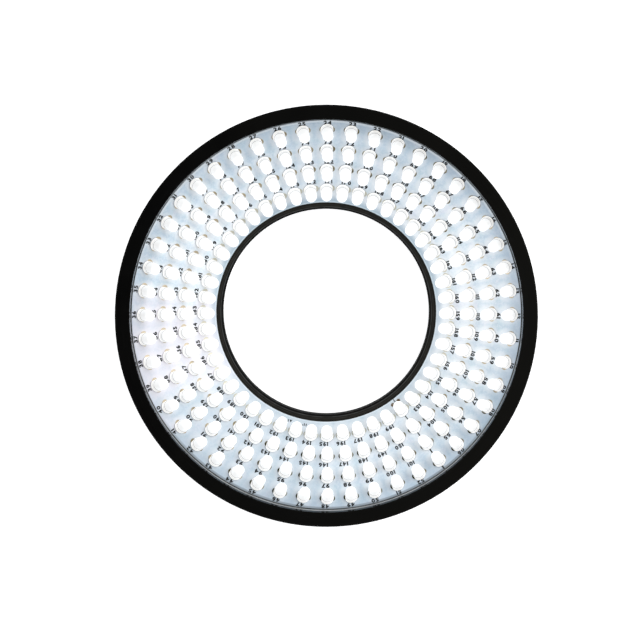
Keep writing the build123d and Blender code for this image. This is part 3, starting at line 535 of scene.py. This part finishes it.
def plastic_material(name, dark, light, rough, grain_mm=0.2, spec=0.4, bump=0.4):
    m = Mat(name)
    cloud = m.noise(3.0, 4.0, 0.6)
    grain = m.noise(grain_mm, 3.0, 0.65)
    m.color(m.mix(m.math("ADD", m.math("MULTIPLY", cloud, 0.7), m.math("MULTIPLY", grain, 0.3)), dark, light))
    m.set("Roughness", m.math("ADD", m.math("MULTIPLY", grain, 0.2), rough))
    m.set("Specular IOR Level", spec)
    m.bump([(grain, bump, 0.02), (cloud, 0.15, 0.06)])
    return m.m


def film_material():
    return plastic_material("insulation_film", (0.085, 0.038, 0.006), (0.16, 0.075, 0.012), 0.22, 0.3, 0.5, 0.2)


def ink_material():
    """Black position print, a little grey where the ink is thin."""
    m = Mat("print_ink")
    cloud = m.noise(0.35, 3.0, 0.7)
    m.color(m.mix(m.smooth(cloud, 0.45, 0.85), (0.003, 0.0035, 0.0045), (0.022, 0.026, 0.034)))
    m.set("Roughness", m.math("ADD", m.math("MULTIPLY", cloud, 0.2), 0.5))
    m.set("Specular IOR Level", 0.3)
    m.bump([(m.noise(0.12, 2.0), 0.3, 0.01)])
    return m.m


MATS = {
    "housing": housing_material(),
    "collar": collar_material(),
    "plate": plate_material(),
    "board": board_material(),
    "lamp": lamp_material(),
    "pad": pad_material(),
    "lead": metal_material("tinned_lead", (0.42, 0.42, 0.41), (0.68, 0.68, 0.66), 0.22),
    "solder": metal_material("solder", (0.30, 0.29, 0.27), (0.62, 0.61, 0.59), 0.28, 0.35),
    "bridge": metal_material("bridge_solder", (0.12, 0.085, 0.055), (0.30, 0.23, 0.16), 0.34, 0.25, spot=(0.05, 0.03, 0.02)),
    "steel": metal_material("zinc_steel", (0.40, 0.41, 0.42), (0.66, 0.66, 0.65), 0.26, 0.3),
    "black_screw": metal_material("black_oxide", (0.012, 0.012, 0.013), (0.05, 0.05, 0.052), 0.34, 0.2),
    "brass": metal_material("turned_brass", (0.50, 0.36, 0.14), (0.76, 0.60, 0.30), 0.22, 0.3),
    "rubber": plastic_material("black_rubber", (0.007, 0.007, 0.007), (0.022, 0.022, 0.022), 0.62, 0.15, 0.25, 0.6),
    "nylon_black": plastic_material("black_nylon", (0.010, 0.010, 0.0105), (0.026, 0.026, 0.027), 0.42, 0.18, 0.4, 0.5),
    "nylon_white": plastic_material("white_nylon", (0.66, 0.65, 0.58), (0.82, 0.81, 0.75), 0.40, 0.3),
    "film": film_material(),
    "tape": plastic_material("adhesive_tape", (0.020, 0.020, 0.020), (0.055, 0.055, 0.055), 0.5, 0.4),
    "chip": plastic_material("moulded_chip", (0.010, 0.010, 0.011), (0.030, 0.030, 0.032), 0.48, 0.15),
    "mask_green": plastic_material("green_mask", (0.010, 0.11, 0.045), (0.03, 0.22, 0.09), 0.24, 0.25, 0.5, 0.2),
    "fuse": plastic_material("fuse_body", (0.02, 0.16, 0.05), (0.06, 0.27, 0.10), 0.35, 0.25),
    "red": plastic_material("red_insulation", (0.36, 0.012, 0.012), (0.55, 0.03, 0.028), 0.35, 0.4),
    "black_wire": plastic_material("black_insulation", (0.010, 0.010, 0.010), (0.03, 0.03, 0.03), 0.35, 0.4),
    "ink": ink_material(),
}

NODE_MATS = {
    "housing_shell": "housing", "inner_collar": "collar", "back_plate": "plate", "back_gasket": "rubber",
    "back_plate_screws": "black_screw", "collar_screws": "black_screw", "rear_mount_inserts": "steel",
    "insulation_sheet": "film", "board_support_posts": "nylon_white", "lamp_board": "board",
    "outer_tape_ring": "tape", "inner_tape_ring": "tape", "series_resistors": "chip", "resistor_end_caps": "solder",
    "terminal_board": "mask_green", "terminal_board_spacers": "brass", "terminal_board_screws": "steel",
    "supply_connector": "nylon_white", "supply_connector_pins": "lead", "protection_diode": "chip",
    "protection_diode_tabs": "solder", "resettable_fuse": "fuse", "supply_wire_positive": "red",
    "supply_wire_negative": "black_wire", "cable_gland_body": "nylon_black", "cable_gland_cap": "nylon_black",
    "cable_gland_locknut": "nylon_black", "cable_gland_seal": "rubber", "cable_gland_washer": "rubber",
    "seam_solder_bridges": "bridge",
}
for ring_name in RING_NAMES:
    NODE_MATS["lamps_" + ring_name] = "lamp"
    NODE_MATS["lamp_leads_" + ring_name] = "lead"
    NODE_MATS["solder_pads_" + ring_name] = "pad"
for name, obj in nodes.items():
    obj.data.materials.clear()
    obj.data.materials.append(MATS[NODE_MATS[name]])


# ------------------------------------------------------------------ mesh helpers
def new_object(name, verts, faces, material, attributes=None, smooth=True):
    mesh = bpy.data.meshes.new(name)
    mesh.from_pydata([tuple(v) for v in verts], [], faces)
    mesh.update()
    for key, values in (attributes or {}).items():
        layer = mesh.attributes.new(key, "FLOAT", "POINT")
        layer.data.foreach_set("value", np.asarray(values, np.float32))
    mesh.materials.append(material)
    obj = bpy.data.objects.new(name, mesh)
    bpy.context.scene.collection.objects.link(obj)
    if smooth:
        smooth_shade(obj)
    return obj


# ------------------------------------------------------------------ lamps
def lamp_profile():
    """(radius, height above the board) from the foot's centre to the dome's top, with rounded edges."""
    g = LAMP_GAP
    pts = [(0.0, g), (1.2, g), (FLANGE_R - 0.10, g), (FLANGE_R - 0.03, g + 0.03), (FLANGE_R, g + 0.10),
           (FLANGE_R, g + FLANGE_H - 0.16), (FLANGE_R - 0.045, g + FLANGE_H - 0.045), (FLANGE_R - 0.16, g + FLANGE_H),
           (LAMP_R + 0.09, g + FLANGE_H), (LAMP_R + 0.02, g + FLANGE_H + 0.02), (LAMP_R, g + FLANGE_H + 0.09),
           (LAMP_R - 0.01, g + 2.4), (LAMP_R - 0.02, g + LAMP_H - LAMP_R - 0.15)]
    n = 8
    for i in range(n + 1):
        t = math.pi / 2 * i / n
        pts.append(((LAMP_R - 0.02) * math.cos(t), g + LAMP_H - LAMP_R + LAMP_R * math.sin(t)))
    pts[-1] = (0.0, g + LAMP_H)
    return pts


def lamp_mesh(segments=28):
    pts = lamp_profile()
    verts, faces, hs, qs = [], [], [], []
    rows = []
    for r, h in pts:
        if r == 0.0:
            rows.append([len(verts)])
            verts.append((0.0, 0.0, h))
            hs.append(h)
            qs.append(0.0)
            continue
        row = []
        for k in range(segments):
            t = 2 * math.pi * k / segments
            x, y = r * math.cos(t), r * math.sin(t)
            if y < -FLANGE_FLAT:  # the flat that marks the cathode
                y = -FLANGE_FLAT
            row.append(len(verts))
            verts.append((x, y, h))
            hs.append(h)
            qs.append(r)
        rows.append(row)
    for a, b in zip(rows[:-1], rows[1:]):
        for k in range(segments):
            k2 = (k + 1) % segments
            if len(a) == 1:
                faces.append((a[0], b[k2], b[k]))
            elif len(b) == 1:
                faces.append((a[k], a[k2], b[0]))
            else:
                faces.append((a[k], a[k2], b[k2], b[k]))
    return np.array(verts), faces, np.array(hs), np.array(qs)


def along_cone(shift, a):
    """The shift in the picture's plane, kept on the board's slope at angle a."""
    x, y = shift[0], shift[1]
    return np.array((x, y, (x * math.cos(a) + y * math.sin(a)) * TAN))


LV, LF, LH, LQ = lamp_mesh()
rng = np.random.default_rng(7)
# The lamps were set by hand: they all lean a little towards the lower right of the picture, the outer rings most,
# and those at the top and on the right lean back up. Shift of the dome in mm, then the share of that second lean.
LEAN = ((0.39, -0.17, 1.0), (0.27, -0.12, 0.4), (0.17, -0.075, 0.2), (0.05, -0.02, 0.0))
FOOT_SHIFT = ((0.22, 0.09, 0.0), (0.20, 0.03, 0.0), (0.17, 0.0, 0.0), (0.14, 0.0, 0.0))  # mm
for ring, ring_r in enumerate(RING_R):
    verts, faces, hs, qs = [], [], [], []
    for k in range(LAMPS):
        a = math.radians(k * PITCH)
        v = LV.copy()
        # hand-set lamps are never quite straight
        lean_x, lean_y, spin = rng.normal(0, 0.9), rng.normal(0, 0.9), rng.normal(0, 2.0)
        jitter = (Matrix.Rotation(math.radians(spin), 3, "Z") @ Matrix.Rotation(math.radians(lean_x), 3, "X")
                  @ Matrix.Rotation(math.radians(lean_y), 3, "Y"))
        foot = Vector((0, 0, LAMP_GAP))
        tilt = Matrix.Rotation(-TILT, 3, "Y")
        turn = Matrix.Rotation(a, 3, "Z")
        lx, ly, back = LEAN[ring]
        to = Vector((lx, ly + back * (0.10 + 0.10 * math.cos(a) + 0.15 * math.sin(a)), 0.0))
        lean = Matrix.Rotation(math.asin(to.length / LAMP_H), 3, Vector((0, 0, 1)).cross(to.normalized()))
        m3 = np.array(lean @ turn @ tilt @ jitter)
        v = v - np.array(foot)
        v = v @ m3.T
        lift = np.array(turn @ tilt @ Vector((0, 0, LAMP_GAP + 0.14))) + along_cone(FOOT_SHIFT[ring], a)
        v = v + lift + np.array((ring_r * math.cos(a), ring_r * math.sin(a), board_z(ring_r)))
        base = sum(len(x) for x in verts)
        verts.append(v)
        faces += [tuple(i + base for i in f) for f in LF]
        hs.append(LH)
        qs.append(LQ)
    obj = new_object("lit_lamps_" + RING_NAMES[ring], np.concatenate(verts) * MM, faces, MATS["lamp"],
                     {"height_mm": np.concatenate(hs), "radius_mm": np.concatenate(qs)})
    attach(obj, "root")
    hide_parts("lamps_" + RING_NAMES[ring])


# ------------------------------------------------------------------ gilt pads with a little solder on them, under each lamp
PAD_R, PAD_T, PAD_LIFT = 0.95, 0.06, 0.04
PAD_SHIFT = np.array((0.26, 0.11, 0.0))
PAD_POINTS = 26
for ring, ring_r in enumerate(RING_R):
    verts, faces, count = [], [], 0
    for k in range(LAMPS):
        a = math.radians(k * PITCH)
        for side in (-1, 1):
            t = np.linspace(0.0, 2 * math.pi, PAD_POINTS, endpoint=False)
            # the outline is never quite round
            wave = 1.0 + 0.018 * np.sin(2 * t + rng.uniform(0, 6.28)) + 0.014 * np.sin(3 * t + rng.uniform(0, 6.28)) + 0.008 * np.sin(5 * t + rng.uniform(0, 6.28))
            loops = []
            for rad, h in ((PAD_R * 0.985, PAD_LIFT), (PAD_R, PAD_LIFT + 0.018), (PAD_R, PAD_LIFT + 0.040), (PAD_R - 0.035, PAD_LIFT + PAD_T),
                           (PAD_R - 0.20, PAD_LIFT + PAD_T), (PAD_R - 0.30, PAD_LIFT + PAD_T + 0.010)):
                u = rad * wave * np.cos(t)  # up the cone
                v = rad * wave * np.sin(t) + side * LEAD_PITCH / 2
                rr = ring_r + u * COS - h * SIN
                zz = board_z(ring_r) + u * SIN + h * COS
                loops.append(np.stack([rr * math.cos(a) - v * math.sin(a), rr * math.sin(a) + v * math.cos(a), zz], 1))
            flat = np.concatenate(loops) + along_cone(PAD_SHIFT * rng.normal(1.0, 0.12), a)
            top = flat[-PAD_POINTS:].mean(0)
            low = flat[:PAD_POINTS].mean(0)
            verts.append(np.concatenate([flat, [top, low]]))
            n = PAD_POINTS
            for j in range(len(loops) - 1):
                faces += [(count + j * n + i, count + j * n + (i + 1) % n, count + (j + 1) * n + (i + 1) % n, count + (j + 1) * n + i) for i in range(n)]
            last = count + (len(loops) - 1) * n
            faces += [(last + i, last + (i + 1) % n, count + len(loops) * n) for i in range(n)]
            faces += [(count + (i + 1) % n, count + i, count + len(loops) * n + 1) for i in range(n)]
            count += len(loops) * n + 2
    pads = new_object("gilt_pads_" + RING_NAMES[ring], np.concatenate(verts) * MM, faces, MATS["pad"])
    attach(pads, "root")
    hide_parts("solder_pads_" + RING_NAMES[ring])


# ------------------------------------------------------------------ position numbers printed on the board
def glyphs():
    """Each digit as a thin closed solid, with a height of 1, and its advance."""
    found = {}
    for ch in "0123456789":
        cu = bpy.data.curves.new("glyph_" + ch, "FONT")
        cu.body = ch
        cu.size = 1.0
        cu.resolution_u = 3
        cu.extrude = 0.5
        cu.offset = 0.050
        ob = bpy.data.objects.new("glyph_" + ch, cu)
        bpy.context.scene.collection.objects.link(ob)
        dg = bpy.context.evaluated_depsgraph_get()
        me = bpy.data.meshes.new_from_object(ob.evaluated_get(dg))
        co = np.array([v.co for v in me.vertices])
        fs = [tuple(p.vertices) for p in me.polygons]
        found[ch] = (co, fs)
        bpy.data.objects.remove(ob)
        bpy.data.curves.remove(cu)
        bpy.data.meshes.remove(me)
    top = max(c[:, 1].max() for c, _ in found.values())
    low = min(c[:, 1].min() for c, _ in found.values())
    out = {}
    for ch, (co, fs) in found.items():
        co = co.copy()
        width = co[:, 0].max() - co[:, 0].min()
        co[:, 0] -= co[:, 0].min()
        co[:, :2] /= top - low
        co[:, 1] -= low / (top - low)
        out[ch] = (co, fs, width / (top - low))
    return out


GLYPHS = glyphs()
TEXT_H = 1.36
TEXT_LIFT, TEXT_THICK = 0.012, 0.020


def label_mesh(text, ring_r, angle_deg, text_r, height, turn=0.0, aside=0.0):
    """The number's solids on the cone, digit tops outwards, read clockwise."""
    gap = 0.14
    stretch = 1.20 if len(text) == 2 else 1.08
    width = sum(GLYPHS[c][2] for c in text) + gap * (len(text) - 1)
    x = -width / 2
    verts, faces = [], []
    for c in text:
        co, fs, w = GLYPHS[c]
        p = co.copy()
        p[:, 0] = (p[:, 0] + x) * height * stretch
        p[:, 1] = (p[:, 1] - 0.5) * height
        x += w + gap
        ct, st = math.cos(turn), math.sin(turn)
        px = p[:, 0] * ct - p[:, 1] * st
        py = p[:, 0] * st + p[:, 1] * ct
        rr = text_r + py * COS
        th = math.radians(angle_deg) - (px + aside) / rr
        lift = TEXT_LIFT + (p[:, 2] + 0.5) * TEXT_THICK
        zz = REF_Z + (rr - REF_R) * TAN + lift * COS
        rr = rr - lift * SIN
        q = np.stack([rr * np.cos(th), rr * np.sin(th), zz], 1)
        base = sum(len(v) for v in verts)
        verts.append(q)
        faces += [tuple(i + base for i in f) for f in fs]
    return np.concatenate(verts), faces


verts, faces, count = [], [], 0
SEAM_STEP = round((90.0 - SEAM_DEG) / PITCH)  # the seam's column, counted clockwise from the top
for ring, ring_r in enumerate(RING_R):
    for k in range(LAMPS):
        number = ring * (LAMPS + 1) + (SEAM_STEP - 1 - k) % LAMPS + 6
        if k == SEAM_STEP:  # the seam runs through this column, so nothing is printed there
            continue
        text = "%02d" % number
        ang = 90.0 - k * PITCH + rng.normal(0, 0.10)
        h = TEXT_H if ring else 1.30
        tr = ring_r + (2.18 if ring else 2.06) + rng.normal(0, 0.02)
        aside = (0.27, 0.32, 0.84, 0.80)[ring]
        v, f = label_mesh(text, ring_r, ang, tr, h, turn=rng.normal(0, 0.02), aside=aside)
        faces += [tuple(i + count for i in x) for x in f]
        count += len(v)
        verts.append(v)
# two small marks printed beside the collar: a triangle, and a pair of bars
for deg, parts in ((90.0 - 198.6, (((-0.70, -0.42), (0.10, -0.42), (-0.30, 0.45)), ((0.30, -0.42), (0.52, -0.42), (0.52, 0.45), (0.30, 0.45)))),
                   (90.0 - 190.9, (((-0.60, -0.42), (-0.36, -0.42), (-0.36, 0.45), (-0.60, 0.45)),
                                   ((-0.02, -0.42), (0.22, -0.42), (0.22, 0.45), (-0.02, 0.45)),
                                   ((0.42, 0.10), (0.78, 0.10), (0.78, 0.34), (0.42, 0.34))))):
    for poly in parts:
        q = []
        for lift in (TEXT_LIFT, TEXT_LIFT + TEXT_THICK):
            for x, y in poly:
                rr = 33.3 + y * COS
                th = math.radians(deg) - x / rr
                q.append(((rr - lift * SIN) * math.cos(th), (rr - lift * SIN) * math.sin(th), board_z(rr) + lift * COS))
        n = len(poly)
        faces.append(tuple(count + i for i in range(n)))
        faces.append(tuple(count + n + i for i in reversed(range(n))))
        faces += [(count + i, count + n + i, count + n + (i + 1) % n, count + (i + 1) % n) for i in range(n)]
        verts.append(np.array(q))
        count += len(q)
numbers = new_object("position_numbers", np.concatenate(verts) * MM, faces, MATS["ink"], smooth=False)
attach(numbers, "root")

# ------------------------------------------------------------------ light and floor
scene = bpy.context.scene
scene.view_settings.view_transform = "Standard"
scene.view_settings.look = "None"
scene.view_settings.exposure = 0.0
scene.view_settings.gamma = 1.0


def floor():
    m = Mat("pale_floor")
    n = m.noise(400.0, 2.0, 0.5)
    m.color(m.mix(n, (0.90, 0.90, 0.90), (0.93, 0.93, 0.93)))
    m.set("Roughness", m.math("ADD", m.math("MULTIPLY", m.noise(40.0), 0.1), 0.75))
    m.set("Specular IOR Level", 0.2)
    m.set("Emission Color", (1.0, 1.0, 1.0, 1.0))
    m.set("Emission Strength", 0.62)
    s = 12.0
    ob = new_object("floor", [(-s, -s, 0), (s, -s, 0), (s, s, 0), (-s, s, 0)], [(0, 1, 2, 3)], m.m, smooth=False)
    ob.location.z = -0.0002
    ob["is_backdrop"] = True
    return ob


floor()

world = bpy.data.worlds.new("world")
scene.world = world
world.use_nodes = True
wt = world.node_tree
wc = wt.nodes.new("ShaderNodeTexCoord")
ws = wt.nodes.new("ShaderNodeSeparateXYZ")
wr = wt.nodes.new("ShaderNodeValToRGB")
wr.color_ramp.interpolation = "EASE"
stops = ((0.0, 1.10), (0.10, 1.10), (0.30, 0.82), (0.80, 0.78), (0.97, 0.55))
while len(wr.color_ramp.elements) > 1:
    wr.color_ramp.elements.remove(wr.color_ramp.elements[-1])
wr.color_ramp.elements[0].color = (0.5 * stops[0][1],) * 3 + (1.0,)
for at, value in stops[1:]:
    wr.color_ramp.elements.new(at).color = (0.5 * value,) * 3 + (1.0,)
wm = wt.nodes.new("ShaderNodeMath")
wm.operation = "MULTIPLY"
wm.inputs[1].default_value = 2.0
wt.links.new(wc.outputs["Generated"], ws.inputs[0])
wt.links.new(ws.outputs[2], wr.inputs[0])
wt.links.new(wr.outputs["Color"], wm.inputs[0])
wt.links.new(wm.outputs[0], wt.nodes["Background"].inputs["Strength"])
wt.nodes["Background"].inputs["Color"].default_value = (0.97, 0.985, 1.0, 1.0)


def area(name, loc, target, size, power, color=(1, 1, 1)):
    d = bpy.data.lights.new(name, "AREA")
    d.shape = "DISK"
    d.size = size
    d.energy = power
    d.color = color
    o = bpy.data.objects.new(name, d)
    scene.collection.objects.link(o)
    o.location = loc
    o.rotation_euler = (Vector(target) - Vector(loc)).to_track_quat("-Z", "Y").to_euler()
    return o


area("key", (0.9, 0.7, 1.3), (0, 0, 0), 1.2, 12.0, (1.0, 0.99, 0.97))
area("fill", (-1.1, -0.5, 1.2), (0, 0, 0), 1.4, 5.0, (0.97, 0.985, 1.0))

low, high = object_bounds()
